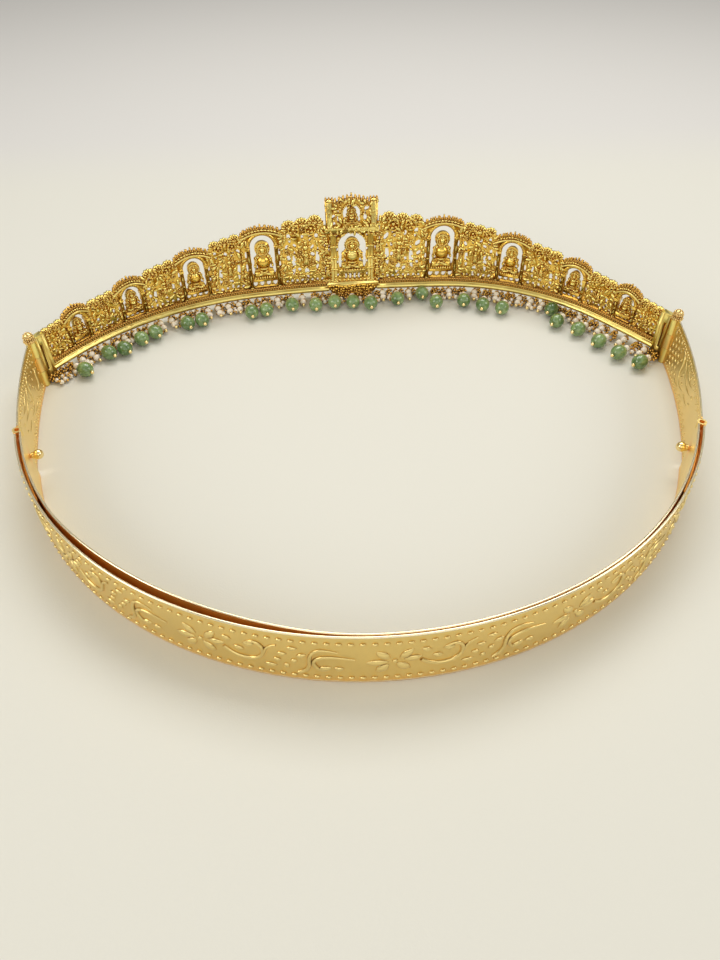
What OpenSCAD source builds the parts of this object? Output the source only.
// Oddiyanam, a gold temple-work waist belt: a pierced front panel, two side bands and a double-walled back sleeve.
// The belt stands on its lower edge. X runs to the right, Y from the plain back to the ornate front, Z up.

/* [Back sleeve] */
// Radius of the outer face of the sleeve
back_r = 132.6; // [130:0.1:135]
// Height of the plain band, sleeve and side bands alike
band_h = 23; // [21:0.5:26]
// Thickness of each wall of the sleeve
sheet_t = 0.7; // [0.6:0.05:0.8]
// Angle from the middle of the back to the left mouth of the sleeve
mouth_left = 73; // [72:0.1:74]
// Angle from the middle of the back to the right mouth of the sleeve
mouth_right = 68.7; // [67:0.1:70]
// Gap between the two walls at the middle of the back
closed_gap = 0.3; // [0.3:0.05:0.6]
// Extra bend of the inner wall on its way to the left mouth, in degrees
spread_left = 1.2; // [1.15:0.05:1.35]
// Extra bend of the inner wall on its way to the right mouth, in degrees
spread_right = 0.55; // [0.5:0.05:0.8]

/* [Side bands] */
// Thickness of the side bands
side_t = 0.6; // [0.4:0.05:0.65]
// Length of the tongue that slides inside the sleeve
tongue_l = 35; // [20:1:40]
// Height of the tongue
tongue_h = 16; // [12:0.5:17]
// Clearance between the tongue and the outer wall of the sleeve
slip = 0.12; // [0.1:0.01:0.15]
// Radius of the ball on each adjusting screw
ball_r = 1.9; // [1.6:0.1:2.1]
// Radius of the shank of each adjusting screw
screw_r = 0.8; // [0.6:0.05:1]

/* [Front panel] */
// Distance from the centre of the back curve to the middle of the panel
bow_y = 91; // [88:0.5:94]
// Sideways place of the middle of the panel
bow_x = 0.9; // [0:0.1:2]
// Length of the panel from its middle to the left hinge pin
panel_left = 164.3; // [160:0.1:168]
// Length of the panel from its middle to the right hinge pin
panel_right = 167; // [163:0.1:170]
// Bend of the left half of the panel, in degrees
turn_left = 58.2; // [56:0.1:60]
// Bend of the right half of the panel, in degrees
turn_right = 59.25; // [57:0.05:61]
// Angle at which the middle of the panel is turned
lead = 2.4; // [0:0.1:4]
// Thickness of the pierced plates
plate_t = 1.2; // [0.9:0.1:1.6]
// Height of the middle spike of the centre motif
crest_h = 52.4; // [50:0.2:56]
// Height of the underside of the rail
rail_z = 3.3; // [2.9:0.1:4]
// Height of the lower bar of the rail
rail_h = 2.3; // [1.8:0.1:2.6]
// Half the width of the centre motif
centre_half = 13.3; // [12.9:0.1:14]

/* [Hinges] */
// Height of the hinges
hinge_h = 22; // [20:0.5:23]
// Outer radius of the hinge knuckles
knuckle_r = 2.1; // [1.8:0.1:2.4]
// Radius of the hinge pins
pin_r = 1; // [0.8:0.05:1.2]
// Radial clearance of the pins in the knuckles
pin_fit = 0.05; // [0.02:0.01:0.08]
// Distance of the hinge pins inwards from the line of the panel
pin_in = 1.4; // [1:0.1:2]
// Lowest point of the middle knuckle
mid_low = 7.5; // [6:0.5:8]
// Height of the middle knuckle
mid_h = 7; // [6:0.5:8]

/* [Bead fringe] */
// Diameter of the green beads
bead_d = 6.8; // [6:0.1:7]
// Length of the green beads
bead_l = 7.8; // [7:0.1:8.2]
// Diameter of the pearls
pearl_d = 3; // [2.6:0.1:3.1]
// Radius of the wire of each drop
wire_r = 0.25; // [0.2:0.05:0.3]
// Clearance of the wire in the drilled beads
drill_gap = 0.12; // [0.1:0.01:0.2]
// Spacing of the drops along the rail
drop_pitch = 5.4; // [5.2:0.1:6.5]

/* [Hidden] */
$fn = 96;

// Bends of the panel and of the inner wall: share of the length, share of the turn
PANEL_LEFT_BENDS = [[0.317, 0.137], [0.683, 0.863]];
PANEL_RIGHT_BENDS = [[0.268, 0.063], [0.496, 0.841], [0.236, 0.096]];
INNER_LEFT_BENDS = [[0.135, 0.179], [0.529, 0.446], [0.067, 0.105], [0.269, 0.27]];
INNER_RIGHT_BENDS = [[0.491, 0.491], [0.202, 0.218], [0.307, 0.291]];

// Niches of each half, from the centre outwards: place along the half, width and height as shares of crest_h
NICHES = [[0.268, 0.372, 0.773], [0.475, 0.325, 0.65], [0.67, 0.286, 0.548], [0.843, 0.248, 0.505]];
// Height of the scrollwork between the niches, as shares of crest_h
SCROLL_TOPS = [0.82, 0.70, 0.575, 0.46, 0.42];
// Slots in the scrollwork: place across, place up, half width, half height, all as shares, and lean
SCROLL_SLOTS = [[-0.34, 0.38, 0.05, 0.19, 3], [-0.07, 0.19, 0.055, 0.12, -10], [0.24, 0.33, 0.055, 0.2, 5],
    [-0.2, 0.74, 0.05, 0.09, 16], [0.33, 0.74, 0.045, 0.1, -8]];

// Green beads: place along the rail from the middle, reach of the bead's centre inwards from the rail
BEADS = [[-150, 13], [-133.5, 11], [-126, 13.5], [-115, 12], [-106.5, 11], [-89, 12.5], [-81, 13], [-53.8, 14.5],
    [-46, 14], [-32.5, 12], [-20.5, 14], [-10.5, 12.5], [-1, 13.5], [8, 15.5], [22, 12.5], [35, 8], [41.5, 16.5],
    [57.5, 15], [69, 17.5], [81, 18], [106.5, 8], [114.5, 16], [128, 15], [141, 16], [153, 16.5], [164, 15]];

inner_r = back_r - sheet_t - closed_gap - sheet_t / 2;
tongue_r = back_r - sheet_t - slip - side_t / 2;
tongue_z = (band_h - tongue_h) / 2;
screw_z = band_h * 0.56;
mouth_ring_r = 1.7;
mouth_ring_h = 2.8;
mid_r = back_r - sheet_t - slip - side_t / 2;
seam = 0.35;
end_trim = 1.2;
plate_z = rail_z + rail_h + 2.2;
wing_start = centre_half + 0.3;
frame_l = 7.6;
niche_spike = 1.8;
finial_r = 1.95;
finial_neck = 0.9;
pin_play = 0.12;
belly = 5;
wire_z = rail_z - wire_r - 0.2;
wire_in = 0.9;
wire_clear = 2.75;
bead_low = bead_d / 2 + 0.03;
pearl_reach = 10.5;
pearl_low = 1.75;
tip_r = 0.8;

left_rows = bends(PANEL_LEFT_BENDS, panel_left, turn_left);
right_rows = bends(PANEL_RIGHT_BENDS, panel_right, turn_right);
left_pin = inward(along(left_rows, [-bow_x, bow_y, -lead], panel_left), pin_in);
right_pin = inward(along(right_rows, [bow_x, bow_y, lead], panel_right), pin_in);
mid_x = (right_pin[0] - left_pin[0]) / 2;
mid_y = (bow_y + belly - back_r) / 2;

GREEN_NODES = [for (i = [0:len(BEADS) - 1]) str("green_bead_", i < 9 ? "0" : "", i + 1)];

// Rows of length and turn for a curve of tangent arcs
function bends(shares, l, t) = [for (r = shares) [r[0] * l, r[1] * t]];
// A point and heading after an arc of length l that turns clockwise by t degrees
function arc_on(p, l, t) = let (r = l / (t * PI / 180))
    [p[0] + r * (sin(p[2]) - sin(p[2] - t)), p[1] + r * (cos(p[2] - t) - cos(p[2])), p[2] - t];
// The point and heading at a distance s along the rows
function along(rows, p, s, i = 0) = s < 0.001 ? p
    : (i == len(rows) - 1 || s <= rows[i][0]) ? arc_on(p, s, rows[i][1] * s / rows[i][0])
    : along(rows, arc_on(p, rows[i][0], rows[i][1]), s - rows[i][0], i + 1);
// The same point and heading moved inwards
function inward(p, d) = [p[0] + d * sin(p[2]), p[1] - d * cos(p[2]), p[2]];
function sum_to(rows, i) = i == 0 ? 0 : rows[i - 1][0] + sum_to(rows, i - 1);
function ring_at(side) = (side < 0 ? mouth_left : mouth_right) + 0.6 / back_r * 180 / PI;
function screw_at(side) = (side < 0 ? mouth_left : mouth_right) - 3 / back_r * 180 / PI;
function mix(a, b, t) = a + (b - a) * t;

// Two arcs of a side band: the tongue on the sleeve's own curve, and the stretch from the mouth to the pin
function side_rows(mouth, pin) = let (
        dx = pin[0] - tongue_r * sin(mouth),
        dy = -pin[1] - tongue_r * cos(mouth),
        t = -2 * (mouth + atan2(dy, dx)))
    [[tongue_l, tongue_l / tongue_r * 180 / PI], [norm([dx, dy]) * (t * PI / 360) / sin(t / 2), t]];
function side_start(mouth) = let (a = mouth - tongue_l / tongue_r * 180 / PI)
    [tongue_r * sin(a), tongue_r * cos(a), -a];

module stood() translate([-mid_x, -mid_y, 0]) children();
module side_of(side) if (side < 0) mirror([1, 0, 0]) children(); else children();
module to_back() mirror([0, 1, 0]) children();

// Places children at a point with their X along the heading and their Y outwards
module at(p) translate([p[0], p[1], 0]) rotate([0, 0, p[2]]) children();

// Sweeps a profile, drawn as outward offset and height, along the rows between two distances
module swept(rows, p, s0, s1) for (i = [0:len(rows) - 1]) {
    from = max(s0, sum_to(rows, i));
    to = min(s1, sum_to(rows, i) + rows[i][0]);
    if (to > from + 0.01) {
        r = rows[i][0] / (rows[i][1] * PI / 180);
        turn = (to - from) / rows[i][0] * rows[i][1];
        q = along(rows, p, from);
        translate([q[0] + r * sin(q[2]), q[1] - r * cos(q[2]), 0])
            rotate([0, 0, 90 + q[2] - turn])
                rotate_extrude(angle = turn, $fn = 360) translate([r, 0]) children();
    }
}

// Stands an outline, drawn as place along and height, up between two depths
module slab(y0, y1) translate([0, y1, 0]) rotate([90, 0, 0]) linear_extrude(y1 - y0) children();

// An upright box from a corner
module bar(x0, x1, y0, y1, z0, z1) translate([x0, y0, z0]) cube([x1 - x0, y1 - y0, z1 - z0]);

module lens(x, z, hw, hh, lean = 0) translate([x, z]) rotate(lean)
    polygon([[-hw, 0], [-hw * 0.6, -hh * 0.7], [0, -hh], [hw * 0.6, -hh * 0.7], [hw, 0], [hw * 0.6, hh * 0.7],
        [0, hh], [-hw * 0.6, hh * 0.7]]);

// A row of small pointed spikes with ball tips along a low crest, the middle one taller
module spikes(w, top, drop, count, tall) for (k = [0:count - 1]) {
    x = mix(-w / 2, w / 2, (k + 0.5) / count);
    z = top - drop * pow(2 * x / w, 2);
    h = k == floor(count / 2) ? tall * 1.35 : tall;
    polygon([[x - w / count * 0.42, z - 0.6], [x + w / count * 0.42, z - 0.6], [x, z + h - 0.3]]);
    translate([x, z + h - 0.42]) circle(0.42);
}

module crest_body(w, z0, top, drop) polygon(concat([[-w / 2, z0]],
    [for (k = [0:8]) let (x = mix(-w / 2, w / 2, k / 8)) [x, top - drop * pow(2 * x / w, 2)]], [[w / 2, z0]]));

module arch_opening(hw, z0, top) {
    translate([-hw, z0]) square([2 * hw, top - hw - z0]);
    translate([0, top - hw]) circle(hw);
}

// The flat silhouette of a seated figure that fills an opening up to its halo
module figure_outline(hw, z0, hh) {
    fx = hw / 5.8;
    fz = hh / 22;
    halo = 3.5 * min(fx, fz) + 0.2;
    polygon([[-hw - 0.3, z0 - 0.3], [-hw - 0.3, z0 + 2.2 * fz], [-5 * fx, z0 + 4.6 * fz], [-2.8 * fx, z0 + 5.4 * fz],
        [-3.2 * fx, z0 + 7.2 * fz], [-hw - 0.3, z0 + 7.6 * fz], [-hw - 0.3, z0 + 9 * fz], [-3.9 * fx, z0 + 10.6 * fz],
        [-2.9 * fx, z0 + 12.4 * fz], [-0.9 * fx, z0 + 13.4 * fz], [0.9 * fx, z0 + 13.4 * fz],
        [2.9 * fx, z0 + 12.4 * fz], [3.9 * fx, z0 + 10.6 * fz], [hw + 0.3, z0 + 9 * fz], [hw + 0.3, z0 + 7.6 * fz],
        [3.2 * fx, z0 + 7.2 * fz], [2.8 * fx, z0 + 5.4 * fz], [5 * fx, z0 + 4.6 * fz], [hw + 0.3, z0 + 2.2 * fz],
        [hw + 0.3, z0 - 0.3]]);
    translate([0, z0 + 15.4 * fz]) circle(halo);
}

// The rounded parts of a seated figure, raised on the outer face
module figure_relief(hw, z0, hh) {
    fx = hw / 5.8;
    fz = hh / 22;
    f = min(fx, fz);
    y = plate_t;
    slab(y - 0.4, y + 0.7) translate([0, z0 + 15.4 * fz]) difference() {
        circle(3.5 * f + 0.1);
        circle(2.6 * f);
    }
    translate([0, y + 0.2, z0 + 15.2 * fz]) sphere(1.75 * f + 0.1);
    translate([0, y, z0 + 18 * fz]) sphere(0.9 * f);
    translate([0, y - 0.6, z0 + 9 * fz]) sphere(3.1 * f + 0.2);
    for (m = [-1, 1]) {
        translate([m * 3.5 * fx, y - 0.3, z0 + 2.5 * fz]) sphere(2.1 * f + 0.1);
        translate([m * 3.4 * fx, y, z0 + 10 * fz]) sphere(1.2 * f);
    }
    translate([-4.4 * fx, y, z0 + 2.1 * fz]) rotate([0, 90, 0]) cylinder(h = 8.8 * fx, r = 1.5 * f);
    bar(-0.96 * hw, 0.96 * hw, -0.7, y + 1.6, z0 - 1.3, z0 + 0.4);
}

// One niche of the panel: a pierced plate with an arch, two pillars, a seated figure and a spiked crest
module niche(w, h) {
    hw = w * 0.3;
    seat = plate_z + 0.12 * h;
    top = h - 5.4;
    springing = top - hw;
    slab(0, plate_t) difference() {
        union() {
            crest_body(w + 0.8, plate_z - 1.5, h - niche_spike, 2.6);
            spikes(w * 0.94, h - niche_spike, 2.4, 7, niche_spike * 0.74);
        }
        difference() {
            arch_opening(hw, seat, top);
            figure_outline(hw, seat, top - seat);
        }
        for (k = [-1.5:1:1.5]) lens(k * w * 0.17, (plate_z + seat) / 2 - 0.1, w * 0.06, (seat - plate_z) * 0.36);
    }
    figure_relief(hw, seat, top - seat);
    slab(-0.8, plate_t + 0.9) intersection() {
        difference() {
            translate([0, springing]) circle(hw + 1.7);
            translate([0, springing]) circle(hw + 0.35);
        }
        translate([-w / 2, springing]) square([w, w]);
    }
    for (m = [-1, 1]) {
        bar(m * (hw + 1.05) - 0.65, m * (hw + 1.05) + 0.65, -0.9, plate_t + 1, plate_z - 0.6, springing + 0.2);
        bar(m * (hw + 1.05) - 1, m * (hw + 1.05) + 1, -1.2, plate_t + 1.3, springing - 0.9, springing + 0.3);
    }
}

// Scrollwork between two niches: a pierced plate with a scalloped top, a rosette and two leaf rings
module scrollwork(w, h1, h2) {
    h = (h1 + h2) / 2;
    scallop = w / 6;
    slab(0, plate_t) difference() {
        union() {
            polygon([[-w / 2 - 0.4, plate_z - 1.7], [w / 2 + 0.4, plate_z - 1.7], [w / 2 + 0.4, h2 - scallop],
                [-w / 2 - 0.4, h1 - scallop]]);
            for (k = [-1:1]) translate([k * w * 0.31, mix(h1, h2, 0.5 + k * 0.31) - scallop]) circle(scallop);
        }
        for (s = SCROLL_SLOTS) lens(s[0] * w, plate_z + s[1] * (h - plate_z), s[2] * w, s[3] * (h - plate_z), s[4]);
    }
    zr = plate_z + 0.5 * (h - plate_z);
    translate([0, plate_t - 0.3, zr]) sphere(1.5);
    for (k = [0:5]) translate([2.3 * cos(60 * k), plate_t - 0.2, zr + 2.3 * sin(60 * k)]) sphere(0.85);
    slab(-0.7, plate_t + 0.7) for (m = [-1, 1]) translate([m * w * 0.2, mix(plate_z, h, 0.84)]) difference() {
        circle(w * 0.14);
        circle(w * 0.14 - 0.75);
    }
}

// The rail, its plain strip and the pierced plates of one half of the panel, with its hinge frame
module wing(side) {
    l = side < 0 ? panel_left : panel_right;
    rows = side < 0 ? left_rows : right_rows;
    p = [side * bow_x, bow_y, side * lead];
    w = [for (n = NICHES) n[1] * crest_h];
    s = [for (n = NICHES) n[0] * l];
    edges = concat([wing_start + 0.4], [for (i = [0:len(NICHES) - 1]) each [s[i] - w[i] / 2, s[i] + w[i] / 2]],
        [l - frame_l]);
    side_of(side) {
        swept(rows, p, wing_start, l - frame_l + 1)
            polygon([[-1.8, rail_z], [0.9, rail_z], [0.9, plate_z - 0.8], [-1.1, plate_z - 0.8],
                [-1.1, rail_z + rail_h + 0.3], [-0.7, rail_z + rail_h], [-1.8, rail_z + rail_h]]);
        swept(rows, p, wing_start, l - frame_l + 1)
            polygon([[0.1, plate_z - 1.3], [0.8, plate_z - 1.3], [0.8, plate_z + 0.8], [0.1, plate_z + 0.8]]);
        for (i = [0:len(NICHES) - 1]) at(along(rows, p, s[i])) niche(w[i], NICHES[i][2] * crest_h);
        for (i = [0:len(NICHES)]) {
            a = edges[2 * i];
            b = edges[2 * i + 1];
            high = i == 0 ? SCROLL_TOPS[0] : (NICHES[i - 1][2] - 0.06 + SCROLL_TOPS[i]) / 2;
            low = (i == len(NICHES) ? hinge_h / crest_h : (NICHES[i][2] - 0.06 + SCROLL_TOPS[i]) / 2);
            at(along(rows, p, (a + b) / 2)) scrollwork(b - a, high * crest_h, low * crest_h);
        }
        at(inward(along(rows, p, l), pin_in)) hinge_frame();
    }
}

// The end frame of the panel with its blind slot and the two outer knuckles
module hinge_frame() difference() {
    union() {
        bar(-frame_l - 0.3, -1, pin_in - 1.3, pin_in + 1.4, 0, hinge_h);
        bar(-frame_l, -frame_l + 1.3, pin_in - 2, pin_in, 0.4, hinge_h - 0.4);
        bar(-3.6, -2.6, pin_in - 2, pin_in, 0.4, hinge_h - 0.4);
        cylinder(h = hinge_h, r = knuckle_r);
    }
    bar(-5.6, -4.1, pin_in - 2.5, pin_in + 0.3, hinge_h * 0.2, hinge_h * 0.8);
    translate([0, 0, mid_low - pin_play]) cylinder(h = mid_h + 2 * pin_play, r = knuckle_r + 0.35);
    translate([0, 0, -1]) cylinder(h = hinge_h + 2, r = pin_r + pin_fit);
}

// A hinge pin: a plain shank under a collar and a ball finial
module hinge_pin(side) stood() side_of(side) at(side < 0 ? left_pin : right_pin) {
    translate([0, 0, 0.4]) cylinder(h = hinge_h + 1, r = pin_r);
    translate([0, 0, hinge_h + pin_play]) cylinder(h = finial_neck, r = knuckle_r + 0.1);
    translate([0, 0, hinge_h + finial_neck + 1.4]) sphere(finial_r);
}

// A side band: sheet from the hinge to the mouth, then a lower tongue inside the sleeve
module side_band(side) stood() side_of(side) {
    mouth = side < 0 ? mouth_left : mouth_right;
    pin = side < 0 ? left_pin : right_pin;
    rows = side_rows(mouth, pin);
    p = side_start(mouth);
    neck = mouth_ring_r + 1.3;
    end = along([rows[1]], along(rows, p, tongue_l), rows[1][0]);
    difference() {
        to_back() union() {
            swept([rows[0] * (1 + 0.6 / tongue_l)], p, 0, tongue_l + 0.6)
                translate([0.06 - side_t / 2, tongue_z + 0.1]) square([side_t - 0.12, tongue_h - 0.2]);
            swept([rows[1]], along(rows, p, tongue_l), 0, rows[1][0])
                translate([-side_t / 2, 0]) square([side_t, band_h]);
        }
        translate([pin[0], pin[1], -1]) cylinder(h = band_h + 2, r = knuckle_r + 0.35);
        to_back() at(along(rows, p, tongue_l)) for (z = [-1, tongue_z + tongue_h])
            bar(-1, neck, -2, 2, z, z + tongue_z + 1);
    }
    difference() {
        union() {
            translate([pin[0], pin[1], mid_low]) cylinder(h = mid_h, r = knuckle_r);
            to_back() at(end) bar(-knuckle_r - 1.9, -pin_r - 0.5, -side_t / 2 - 0.15, side_t / 2 + 0.15,
                mid_low + 0.4, mid_low + mid_h - 0.4);
        }
        translate([pin[0], pin[1], mid_low - 1]) cylinder(h = mid_h + 2, r = pin_r + pin_fit);
    }
}

function inner_rows(side) = side < 0
    ? bends(INNER_LEFT_BENDS, inner_r * mouth_left * PI / 180 + end_trim, mouth_left + spread_left)
    : bends(INNER_RIGHT_BENDS, inner_r * mouth_right * PI / 180 + end_trim, mouth_right + spread_right);

// One half of the inner wall: sheet arcs with a slim upright seam where two arcs meet
module inner_wall(side) {
    rows = inner_rows(side);
    l = sum_to(rows, len(rows));
    for (i = [0:len(rows) - 1]) {
        swept(rows, [0, inner_r, 0], sum_to(rows, i) + 0.01, sum_to(rows, i + 1) - 0.01)
            translate([-sheet_t / 2, 0]) square([sheet_t, band_h]);
        at(along(rows, [0, inner_r, 0], sum_to(rows, i)))
            bar(-seam, seam, -sheet_t / 2 - 0.06, sheet_t / 2 + 0.06, 0.15, band_h - 0.15);
    }
}

// Points on the middle of the inner wall, from the left mouth to the right one
INNER_LINE = concat(
    [for (k = [30:-1:1]) let (r = inner_rows(-1), q = along(r, [0, inner_r, 0], sum_to(r, len(r)) * k / 30))
        [-q[0], q[1]]],
    [for (k = [0:30]) let (r = inner_rows(1), q = along(r, [0, inner_r, 0], sum_to(r, len(r)) * k / 30))
        [q[0], q[1]]]);

// The narrow floor that ties the two walls together along the lower edge
module sleeve_floor() linear_extrude(sheet_t) intersection() {
    difference() {
        circle(back_r - sheet_t / 2, $fn = 360);
        polygon(concat(INNER_LINE, [[mid_r * 2, 0], [0, -mid_r], [-mid_r * 2, 0]]));
    }
    polygon([[0, 0], for (a = [-mouth_left + 0.2 : (mouth_left + mouth_right - 0.4) / 8 : mouth_right - 0.19])
        [1.2 * back_r * sin(a), 1.2 * back_r * cos(a)]]);
}

// Places children at an angle from the middle of the sleeve, with their X pointing outwards
module round_to(a) rotate([0, 0, 90 - a]) children();

// The back sleeve: a plain outer wall and an inner wall with a gap that the tongues slide in
module back_sleeve() color("goldenrod") stood() to_back() difference() {
    union() {
        round_to(mouth_right) rotate_extrude(angle = mouth_left + mouth_right, $fn = 360)
            translate([back_r - sheet_t, 0]) square([sheet_t, band_h]);
        sleeve_floor();
        difference() {
            union() {
                inner_wall(1);
                mirror([1, 0, 0]) inner_wall(-1);
            }
            for (side = [-1, 1]) side_of(side) round_to(side < 0 ? mouth_left : mouth_right)
                translate([back_r - 12, -12, -1]) cube([24, 12.1, band_h + 2]);
        }
        for (side = [-1, 1]) side_of(side) round_to(ring_at(side)) translate([mid_r, 0, band_h + 0.3 - mouth_ring_h])
            cylinder(h = mouth_ring_h, r = mouth_ring_r);
    }
    for (side = [-1, 1]) side_of(side) {
        round_to(ring_at(side)) translate([mid_r, 0, band_h - mouth_ring_h - 1])
            cylinder(h = mouth_ring_h + 3, r = mouth_ring_r - 0.75);
        round_to(screw_at(side)) translate([back_r - 8, 0, screw_z]) rotate([0, 90, 0])
            cylinder(h = 8 - sheet_t - slip / 2, r = screw_r + 0.05);
    }
}

// A ball-headed screw that bears on the tongue through the inner wall
module ball_screw(side) stood() side_of(side) to_back() {
    tip = back_r - sheet_t - slip - side_t - 0.06;
    round_to(screw_at(side)) translate([0, 0, screw_z]) rotate([0, 90, 0]) {
        translate([0, 0, tip - 3.7]) cylinder(h = 3.7, r = screw_r);
        translate([0, 0, tip - 2.4]) cylinder(h = 0.75, r = screw_r + 0.5);
        translate([0, 0, tip - 1.9 - ball_r]) sphere(ball_r);
    }
}

// Places children at the start of a drop's wire, with Z running along the wire to its end
module drop(s, reach, low) {
    begin = wire_start(s);
    side = s < 0 ? -1 : 1;
    l = side < 0 ? panel_left : panel_right;
    rows = side < 0 ? left_rows : right_rows;
    side_of(side) at(along(rows, [side * bow_x, bow_y, side * lead], min(abs(s), l)))
        translate([0, -begin, wire_z]) rotate([90 - atan2(low - wire_z, reach - begin), 0, 0]) children();
}
// Where a wire begins: inwards of the bowl and of the end frames, else under the rail
function wire_start(s) = let (l = s < 0 ? panel_left : panel_right)
    abs(s) < centre_half + 1 || abs(s) > l - frame_l - 1 ? wire_clear : wire_in;
function drop_l(s, reach, low) = norm([reach - wire_start(s), low - wire_z]);
// Places of the pearl drops: evenly between neighbouring green beads
PEARL_DROPS = [for (i = [0:len(BEADS) - 2]) let (
        a = BEADS[i][0],
        b = BEADS[i + 1][0],
        n = max(0, floor((b - a) / drop_pitch) - 1))
    for (k = [1:1:n]) a + (b - a) * k / (n + 1)];

module drilled(r) difference() {
    sphere(r);
    cylinder(h = 3 * r, r = wire_r + drill_gap, center = true);
}

module green_bead(i) color("darkseagreen") stood() drop(BEADS[i][0], BEADS[i][1], bead_low)
    translate([0, 0, drop_l(BEADS[i][0], BEADS[i][1], bead_low)]) rotate_extrude()
        polygon(concat([for (t = [12:12:168]) [bead_d / 2 * sin(t), bead_l / 2 * cos(t)]],
            [[wire_r + drill_gap, -bead_l / 2 * cos(12)], [wire_r + drill_gap, bead_l / 2 * cos(12)]]));

module pearl_fringe() color("mistyrose") stood() {
    for (s = PEARL_DROPS) drop(s, pearl_reach, pearl_low) for (k = [0, 1])
        translate([0, 0, drop_l(s, pearl_reach, pearl_low) - tip_r - (pearl_d + 0.3) * (k + 0.5)])
            drilled(pearl_d / 2);
    for (b = BEADS) if (b[1] > 10.5) drop(b[0], b[1], bead_low)
        translate([0, 0, drop_l(b[0], b[1], bead_low) - bead_l / 2 - pearl_d / 2 - 0.3]) drilled(pearl_d / 2);
}

module drop_wires() color("gold") stood() {
    for (b = BEADS) drop(b[0], b[1], bead_low) wire(drop_l(b[0], b[1], bead_low) + bead_l / 2 + tip_r);
    for (s = PEARL_DROPS) drop(s, pearl_reach, pearl_low) wire(drop_l(s, pearl_reach, pearl_low));
}
module wire(l) {
    cylinder(h = l, r = wire_r);
    translate([0, 0, l]) sphere(tip_r);
}

// The centre motif: two tall towers over a large niche, a beam, a small upper niche and a lotus bowl
module centre_motif() color("goldenrod") stood() at([bow_x, bow_y, lead]) {
    tower = centre_half - 0.7;
    shaft = 8.6;
    bowl = 6.2;
    seat = 13.4;
    beam = 34.2;
    low_hw = 6.8;
    up_hw = 4.1;
    up_top = crest_h - 5.4;
    slab(0, plate_t) difference() {
        union() {
            translate([-centre_half, bowl - 0.5]) square([2 * centre_half, beam - bowl]);
            for (m = [-1, 1]) translate([m * (shaft + tower) / 2 - (tower - shaft) / 2, beam - 2])
                square([tower - shaft, crest_h - 2.6 - beam + 2]);
            crest_body(2 * shaft + 0.4, beam - 2, crest_h - 2.6, 2.2);
            spikes(2 * shaft, crest_h - 2.6, 2, 9, 2.6 / 1.35);
        }
        difference() {
            arch_opening(up_hw, beam + 3.2, up_top);
            figure_outline(up_hw, beam + 3.2, up_top - beam - 3.2);
        }
        difference() {
            arch_opening(low_hw, seat, beam - 1);
            figure_outline(low_hw, seat, beam - 1 - seat);
        }
        for (k = [-1.5:1:1.5]) lens(k * 2.3, 10.2, 0.8, 1.7);
        for (m = [-1, 1]) {
            lens(m * 6.4, beam + 7, 0.6, 3.4);
            lens(m * 11.2, 25.5, 0.7, 1.8);
            lens(m * 11, 20.4, 0.7, 1.5);
            lens(m * 10.4, 14.6, 0.7, 1.4);
        }
    }
    figure_relief(low_hw, seat, beam - 1 - seat);
    figure_relief(up_hw, beam + 3.2, up_top - beam - 3.2);
    bar(-centre_half + 0.1, centre_half - 0.1, -1.4, plate_t + 1.6, beam - 0.4, beam + 2);
    bar(-centre_half + 0.2, centre_half - 0.2, -1.6, plate_t + 1.8, bowl - 0.3, bowl + 1.1);
    for (m = [-1, 1]) {
        for (c = [8.3, 9.9]) translate([m * c, plate_t / 2, bowl + 0.5])
            cylinder(h = beam - bowl - 0.6, r = 0.95 + c * 0.015);
        bar(m * (shaft + tower) / 2 - 1.2, m * (shaft + tower) / 2 + 1.2, -1, plate_t + 1.2, beam, crest_h - 4);
    }
    slab(-2.2, belly - 1) polygon([[-centre_half + 0.3, bowl], [-11, 2.7], [-6.4, 0], [6.4, 0], [11, 2.7],
        [centre_half - 0.3, bowl]]);
    bar(-centre_half + 0.1, centre_half - 0.1, -1.3, plate_t - 0.1, rail_z + 0.1, bowl + 0.3);
    for (k = [-2:2]) translate([k * 4.4, belly - 1.9, 3.4 + abs(k) * 0.5]) sphere(1.9 - abs(k) * 0.13);
}

module left_wing() color("goldenrod") stood() wing(-1);
module right_wing() color("goldenrod") stood() wing(1);

centre_motif();
left_wing();
right_wing();
color("khaki") hinge_pin(-1);  // left_hinge_pin
color("khaki") hinge_pin(1);  // right_hinge_pin
color("goldenrod") side_band(-1);  // left_side_band
color("goldenrod") side_band(1);  // right_side_band
back_sleeve();
color("khaki") ball_screw(-1);  // left_ball_screw
color("khaki") ball_screw(1);  // right_ball_screw
drop_wires();
pearl_fringe();
for (i = [0:len(BEADS) - 1]) green_bead(i);
